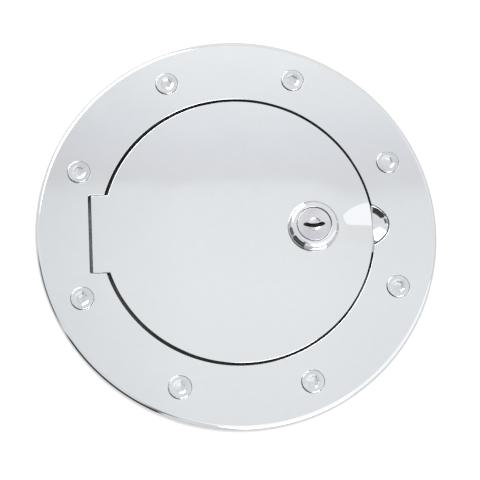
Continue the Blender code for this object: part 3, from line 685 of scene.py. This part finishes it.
def make_lock():
    """The lock's body and bezel, its seal and the nut that holds it in the door."""
    top = HOUSING[1].z
    bottom = HOUSING[0].z
    bezel_r = 0.5 * (HOUSING[1].x - HOUSING[0].x)
    seat = LOCK_SEAL[1].z + 0.1 * MM
    body_r = 9.5 * MM
    bore = 6.8 * MM
    groove = 8.1 * MM
    shoulder = top - 2.4 * MM

    # Body: a double-D threaded barrel, hollow.
    rows = threaded(body_r, 0.45 * MM, 1.0 * MM, bottom + 0.6 * MM, seat - 1.5 * MM,
                    [(body_r - 0.3 * MM, seat - 1.2 * MM), (body_r - 0.3 * MM, seat)],
                    [(bore, bottom), (body_r - 0.7 * MM, bottom)], 8.2 * MM, 96)
    e = 0.35 * MM
    crest_r = 8.75 * MM
    crown = fillet(bezel_r - e, seat + e, e, -90.0, 0.0, 5)
    rise = top - seat - e
    for i in range(1, 25):
        a = 0.5 * math.pi * i / 24
        crown.append((crest_r + (bezel_r - crest_r) * math.cos(a), seat + e + rise * math.sin(a)))
    crown += fillet(groove + 0.15 * MM, top - 0.15 * MM, 0.15 * MM, 90.0, 180.0, 3)
    crown += [(groove, shoulder), (bore, shoulder)]
    rows += [circle(r, z, 96) for r, z in crown]
    rows = [[(x + LOCK_X, y, z) for x, y, z in row] for row in rows]
    housing = smooth(loft("bezel", rows, ring=True), 40.0)
    place(housing, "lid", "lock_chrome", LOCK_CHROME, "lock_housing")

    z0, z1 = LOCK_SEAL[0].z, LOCK_SEAL[1].z
    outer = 0.5 * (LOCK_SEAL[1].x - LOCK_SEAL[0].x)
    e = 0.12 * MM
    profile = [(9.8 * MM, z0), (outer - e, z0), (outer, z0 + e), (outer, z1 - e), (outer - e, z1),
               (9.8 * MM, z1)]
    seal = lathe("bezel_seal", profile, 96, (LOCK_X, 0.0))
    place(smooth(seal), "lid", "seal_rubber", SEAL_RUBBER, "lock_seal")

    nut = hex_nut("lock_ring_nut", 24.0 * MM, 9.8 * MM, LOCK_NUT[0].z, LOCK_NUT[1].z, (LOCK_X, 0.0))
    place(nut, "lid", "zinc_plate", ZINC, "lock_nut")


def hex_reach(angle, flats):
    """How far a hexagon's outline is from its middle at an angle."""
    off = (angle + math.pi / 6.0) % (math.pi / 3.0) - math.pi / 6.0
    return 0.5 * flats / math.cos(off)


def hex_nut(name, flats, bore, z0, z1, centre, steps=96):
    """A hexagon nut with chamfered corners and a countersunk bore."""
    inner = 0.5 * flats * 0.97

    def corner_loop(z, way):
        """The hexagon's outline, which drops away from the face at its corners."""
        row = []
        for a in around(steps):
            reach = hex_reach(a, flats)
            row.append((centre[0] + reach * math.cos(a), centre[1] + reach * math.sin(a),
                        z + way * 0.5 * (reach - inner)))
        return row

    sink = min(0.5 * MM, 0.2 * (z1 - z0))
    rows = [circle(bore, z0 + sink, steps, centre), circle(bore + sink, z0, steps, centre),
            circle(inner, z0, steps, centre), corner_loop(z0, 1.0), corner_loop(z1, -1.0),
            circle(inner, z1, steps, centre), circle(bore + sink, z1, steps, centre),
            circle(bore, z1 - sink, steps, centre)]
    return smooth(loft(name, rows, ring=True), 25.0)


def keyway_outline():
    """A warded slot: its two long sides wave together."""
    half = 5.0 * MM
    upper, lower = [], []
    for i in range(25):
        t = i / 24
        x = half * (2.0 * t - 1.0)
        ward = 0.28 * MM * math.tanh(6.0 * (t - 0.78)) - 0.22 * MM * math.tanh(9.0 * (t - 0.28))
        end = 0.93 * MM * min(1.0, 6.0 * t + 0.35, 6.0 * (1.0 - t) + 0.35)
        upper.append((x, ward + end))
        lower.append((x, ward - end))
    return lower + upper[::-1]


def make_plug():
    """The part of the lock that the key turns, down to the cam and its screw."""
    top = PLUG[1].z
    tail = PLUG[0].z
    face_r = 0.5 * (PLUG[1].x - PLUG[0].x)
    shoulder = top - 1.9 * MM
    e = 0.35 * MM
    profile = [(0.0, -8.3 * MM), (6.3 * MM, -8.3 * MM), (6.5 * MM, -8.1 * MM), (6.5 * MM, shoulder),
               (face_r, shoulder)]
    profile += fillet(face_r - e, top - e, e, 0.0, 90.0, 6)
    profile += [(3.35 * MM, top), (3.15 * MM, top - 0.06 * MM)]
    for i in range(1, 9):
        a = 0.5 * math.pi * i / 8
        profile.append((3.15 * MM * math.cos(a), top - 0.06 * MM - 0.85 * MM * math.sin(a)))
    profile[-1] = (0.0, profile[-1][1])
    plug = lathe("key_plug", profile, 128)
    stub = prism("stub", rounded_box_outline(-3.0 * MM, 3.0 * MM, -3.0 * MM, 3.0 * MM, 0.3 * MM, 3),
                 tail, -8.0 * MM)
    combine(plug, [stub], "UNION")
    cutters = [prism("keyway", keyway_outline(), -3.0 * MM, top + 1.0 * MM),
               lathe("tapped", [(0.0, tail - 1.0 * MM), (1.9 * MM, tail - 1.0 * MM),
                                (1.9 * MM, -4.5 * MM), (0.0, -4.5 * MM)], 32)]
    for number in range(1, 6):
        low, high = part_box(f"lock_wafer_{number}")
        middle = 0.5 * (low.z + high.z)
        cutters.append(prism(f"wafer_slot_{number}",
                             rounded_box_outline(-7.5 * MM, 7.5 * MM, -3.3 * MM, 3.3 * MM, 0.1 * MM, 1),
                             middle - 0.7 * MM, middle + 0.7 * MM))
        refined(f"lock_wafer_{number}", "wafer", "lock_core", "wafer_brass", BRASS, 0.08 * MM)
    combine(plug, cutters)
    plug.data.transform(Matrix.Translation((LOCK_X, 0.0, 0.0)))
    place(smooth(plug), "lock_core", "lock_chrome", PLUG_SATIN, "lock_plug")

    refined("stop_washer", "stop_plate", "lock_core", "zinc_plate", ZINC)
    refined("lock_cam", "cam", "lock_core", "zinc_plate", ZINC, 0.3 * MM)
    refined("cam_washer", "cam_ring", "lock_core", "zinc_plate", ZINC, 0.15 * MM)
    make_cam_screw()


def make_cam_screw():
    """A pan-head screw with a cross recess, pointing up into the plug."""
    low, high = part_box("cam_screw")
    head = 3.5 * MM
    under = low.z + 2.3 * MM
    foot = [(0.0, low.z)]
    for i in range(1, 9):
        a = 0.5 * math.pi * i / 8
        foot.append((head * math.sin(a), under - 0.5 * MM - (under - 0.5 * MM - low.z) * math.cos(a)))
    foot += [(head, under), (1.6 * MM, under)]
    rows = threaded(1.6 * MM, 0.25 * MM, 0.7 * MM, under + 0.3 * MM, high.z - 0.5 * MM,
                    [(1.2 * MM, high.z), (0.0, high.z)], foot, None, 48)
    screw = loft("cam_bolt", rows)
    cross = [prism("blade_a", rounded_box_outline(-1.9 * MM, 1.9 * MM, -0.4 * MM, 0.4 * MM, 0.1 * MM, 2),
                   low.z - 1.0 * MM, low.z + 1.2 * MM),
             prism("blade_b", rounded_box_outline(-0.4 * MM, 0.4 * MM, -1.9 * MM, 1.9 * MM, 0.1 * MM, 2),
                   low.z - 1.0 * MM, low.z + 1.2 * MM)]
    combine(screw, cross)
    screw.data.transform(Matrix.Translation((LOCK_X, 0.0, 0.0)))
    place(smooth(screw), "lock_core", "fastener_steel", FASTENER, "cam_screw")


# --------------------------------------------------------------- deck screws

def screw_mesh():
    """An M6 screw about Z with a low round head, a hexagon socket and its thread."""
    low, high = SCREW[0].z, SCREW[1].z
    shank_r = 2.9 * MM
    head_r = 5.1 * MM
    socket = 4.2 * MM
    edge = 0.35 * MM
    foot = [(0.0, low), (2.0 * MM, low), (2.4 * MM, low + 0.4 * MM)]
    head = [(shank_r, 5.6 * MM), (shank_r, SCREW_SEAT), (head_r - 0.15 * MM, SCREW_SEAT),
            (head_r, SCREW_SEAT + 0.15 * MM)]
    head += fillet(head_r - edge, high - edge, edge, 0.0, 88.0, 8)
    head += [(3.3 * MM, high - 0.01 * MM), (3.1 * MM, high - 0.05 * MM)]
    rows = threaded(shank_r, 0.42 * MM, 1.0 * MM, low + 0.7 * MM, 5.0 * MM, head, foot, None, 60)
    for widen, z in ((1.03, high - 0.33 * MM), (1.0, high - 0.42 * MM), (1.0, high - 1.7 * MM)):
        rows.append([(widen * hex_reach(a, socket) * math.cos(a),
                      widen * hex_reach(a, socket) * math.sin(a), z) for a in around(60)])
    rows.append([(0.0, 0.0, high - 2.1 * MM)])
    return smooth(loft("screw", rows), 30.0)


def make_fixings():
    """The deck screws with their washers and nuts."""
    master = screw_mesh()
    washer_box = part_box("deck_washer_1")
    nut_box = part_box("deck_nut_1")
    for i, centre in enumerate(SCREW_PLACES):
        number = i + 1
        spin = Matrix.Rotation(math.radians(17.0 + 41.0 * i), 4, "Z")
        mesh = master.data.copy()
        mesh.transform(Matrix.Translation((*centre, 0.0)) @ spin)
        screw = bpy.data.objects.new(f"deck_bolt_{number}", mesh)
        bpy.context.scene.collection.objects.link(screw)
        place(screw, "flange", "fastener_steel", FASTENER, f"deck_screw_{number}")

        z0, z1 = washer_box[0].z, washer_box[1].z
        c = 0.2 * MM
        profile = [(3.2 * MM, z0 + c), (3.2 * MM + c, z0), (6.0 * MM - c, z0), (6.0 * MM, z0 + c),
                   (6.0 * MM, z1 - c), (6.0 * MM - c, z1), (3.2 * MM + c, z1), (3.2 * MM, z1 - c)]
        washer = lathe(f"washer_{number}", profile, 64, centre)
        place(smooth(washer), "flange", "fastener_steel", FASTENER, f"deck_washer_{number}")

        nut = hex_nut(f"nut_{number}", 10.0 * MM, 3.2 * MM, nut_box[0].z, nut_box[1].z, centre, 72)
        place(nut, "flange", "fastener_steel", FASTENER, f"deck_nut_{number}")
    bpy.data.objects.remove(master, do_unlink=True)


# -------------------------------------------------------------------- studio

def make_floor():
    """A wide white panel, lit evenly from below."""
    bm = bmesh.new()
    size = 12.0
    corners = [(-size, -size), (size, -size), (size, size), (-size, size)]
    bm.faces.new([bm.verts.new((x, y, FLOOR_Z)) for x, y in corners])
    floor = new_object("floor", bm)
    mat, shader = shader_of("floor_white", (0.16, 0.16, 0.16), 0.0, 0.9)
    shader.inputs["Emission Color"].default_value = (1.0, 1.0, 1.0, 1.0)
    shader.inputs["Emission Strength"].default_value = 0.86
    shader.inputs["Specular IOR Level"].default_value = 0.0
    floor.data.materials.append(mat)


class Graph:
    """Small helper for arithmetic in a node tree."""

    def __init__(self, tree):
        self.tree = tree

    def math(self, operation, a, b=0.0, clamp=False):
        node = self.tree.nodes.new("ShaderNodeMath")
        node.operation = operation
        node.use_clamp = clamp
        for socket, value in zip(node.inputs, (a, b)):
            if isinstance(value, (int, float)):
                socket.default_value = value
            else:
                self.tree.links.new(value, socket)
        return node.outputs[0]

    def ramp(self, value, low, high, stops):
        """Colours at positions between low and high; grey stops are numbers."""
        where = self.tree.nodes.new("ShaderNodeMapRange")
        where.inputs["From Min"].default_value = low
        where.inputs["From Max"].default_value = high
        self.tree.links.new(value, where.inputs["Value"])
        node = self.tree.nodes.new("ShaderNodeValToRGB")
        elements = node.color_ramp.elements
        while len(elements) < len(stops):
            elements.new(0.5)
        for element, (place_at, colour) in zip(elements, stops):
            element.position = (place_at - low) / (high - low)
            rgb = (colour,) * 3 if isinstance(colour, float) else colour
            element.color = (*rgb, 1.0)
        self.tree.links.new(where.outputs["Result"], node.inputs["Fac"])
        return node.outputs["Color"]

    def mix(self, mode, factor, a, b):
        node = self.tree.nodes.new("ShaderNodeMix")
        node.data_type = "RGBA"
        node.blend_type = mode
        sockets = (node.inputs["Factor"], node.inputs["A"], node.inputs["B"])
        for socket, value in zip(sockets, (factor, a, b)):
            if isinstance(value, (int, float)):
                socket.default_value = value
            elif isinstance(value, tuple):
                socket.default_value = (*value, 1.0)
            else:
                self.tree.links.new(value, socket)
        return node.outputs["Result"]

    def window(self, value, low, high, soft):
        """1 between low and high, 0 outside, with soft edges."""
        up = self.math("DIVIDE", self.math("SUBTRACT", value, low), soft, True)
        down = self.math("DIVIDE", self.math("SUBTRACT", high, value), soft, True)
        return self.math("MULTIPLY", up, down)


def make_world():
    """A white tent with a seam overhead and a dark opening low on one side."""
    world = bpy.data.worlds.new("studio")
    bpy.context.scene.world = world
    world.use_nodes = True
    tree = world.node_tree
    background = tree.nodes["Background"]
    graph = Graph(tree)
    coords = tree.nodes.new("ShaderNodeTexCoord")
    axes = tree.nodes.new("ShaderNodeSeparateXYZ")
    tree.links.new(coords.outputs["Generated"], axes.inputs[0])
    x, y, z = axes.outputs
    height = graph.math("MAXIMUM", z, 0.08)
    across = graph.math("DIVIDE", x, height)
    along = graph.math("DIVIDE", y, height)
    line = graph.math("ADD", along, graph.math("MULTIPLY", across, 0.05))

    # The overhead cloth, from the near side to the far side.
    cloth = graph.ramp(line, -0.1, 0.8, [
        (-0.1, (0.83, 0.845, 0.86)), (0.08, (0.81, 0.83, 0.835)), (0.17, (0.86, 0.885, 0.895)),
        (0.23, (0.885, 0.91, 0.925)), (0.297, (0.86, 0.885, 0.895)), (0.307, (0.85, 0.875, 0.885)),
        (0.316, (0.77, 0.775, 0.795)), (0.345, (0.805, 0.82, 0.85)), (0.375, (0.86, 0.885, 0.9)),
        (0.42, (0.94, 0.955, 0.97)), (0.5, 0.9), (0.8, 0.86)])
    sides = graph.ramp(across, -0.4, 0.6, [
        (-0.4, 0.95), (-0.12, 0.86), (-0.04, 0.91), (0.04, 1.0), (0.12, 1.0), (0.2, 0.96),
        (0.6, 0.98)])
    colour = graph.mix("MULTIPLY", 1.0, cloth, sides)
    far = graph.window(line, 2.0, 999.0, 1.2)
    colour = graph.mix("MIX", far, colour, (1.08, 1.09, 1.1))
    near = graph.math("MULTIPLY", graph.window(line, -99.0, 0.112, 0.03),
                      graph.window(across, -0.06, 99.0, 0.08))
    colour = graph.mix("MIX", near, colour, (1.06, 1.07, 1.09))

    # Dark at the near left, where the camera stands, a dark edge on the left, and a dark horizon.
    flat = graph.math("SQRT", graph.math("ADD", graph.math("MULTIPLY", x, x),
                                         graph.math("MULTIPLY", y, y)))

    def toward(degrees):
        a = math.radians(degrees)
        dot = graph.math("ADD", graph.math("MULTIPLY", x, math.cos(a)),
                         graph.math("MULTIPLY", y, math.sin(a)))
        return graph.math("DIVIDE", dot, flat)

    for degrees, spread_cos, low, high, soft, shade in (
            (182.0, 0.97, -0.2, 0.55, 0.05, (0.13, 0.13, 0.15)),
            (220.0, 0.915, -0.2, 0.72, 0.05, (0.05, 0.055, 0.045)),
            (240.0, 0.985, 0.70, 0.95, 0.02, (0.05, 0.055, 0.045))):
        sector = graph.window(toward(degrees), spread_cos, 1.2, 0.02)
        band = graph.window(z, low, high, soft)
        colour = graph.mix("MIX", graph.math("MULTIPLY", sector, band), colour, shade)
    horizon = graph.math("MULTIPLY", graph.window(z, -0.12, 0.12, 0.05), 0.9)
    colour = graph.mix("MIX", horizon, colour, (0.12, 0.125, 0.125))

    # Seen straight, past the floor's edge, the tent is plain white.
    path = tree.nodes.new("ShaderNodeLightPath")
    colour = graph.mix("MIX", path.outputs["Is Camera Ray"], colour, (0.67, 0.67, 0.67))

    tree.links.new(colour, background.inputs["Color"])
    background.inputs["Strength"].default_value = 1.51


def make_light(name, place_at, size, energy, target=(0.0, 0.0, 0.0)):
    data = bpy.data.lights.new(name, "AREA")
    data.shape = "RECTANGLE"
    data.size, data.size_y = size
    data.energy = energy
    light = bpy.data.objects.new(name, data)
    bpy.context.scene.collection.objects.link(light)
    light.location = place_at
    light.rotation_euler = (Vector(target) - Vector(place_at)).to_track_quat("-Z", "Y").to_euler()


def make_camera():
    data = bpy.data.cameras.new("camera")
    data.sensor_width = 36.0
    data.lens = 105.0
    camera = bpy.data.objects.new("camera", data)
    bpy.context.scene.collection.objects.link(camera)
    camera.location = (-0.0495, -0.1671, TOP + 0.6146)
    camera.rotation_euler = (math.radians(14.94), math.radians(-3.83), math.radians(-3.15))
    data.clip_start = 0.01
    data.clip_end = 20.0
    bpy.context.scene.camera = camera


make_flange()
make_seals()
make_door()
make_hinge()
make_lock()
make_plug()
make_fixings()
make_floor()
make_world()
make_light("key", (-0.62, 1.12, 0.95), (1.1, 1.1), 20.0)
make_light("fill", (0.5, -1.25, 0.95), (1.1, 1.1), 20.0)
make_camera()
bpy.context.scene.view_settings.view_transform = "Standard"
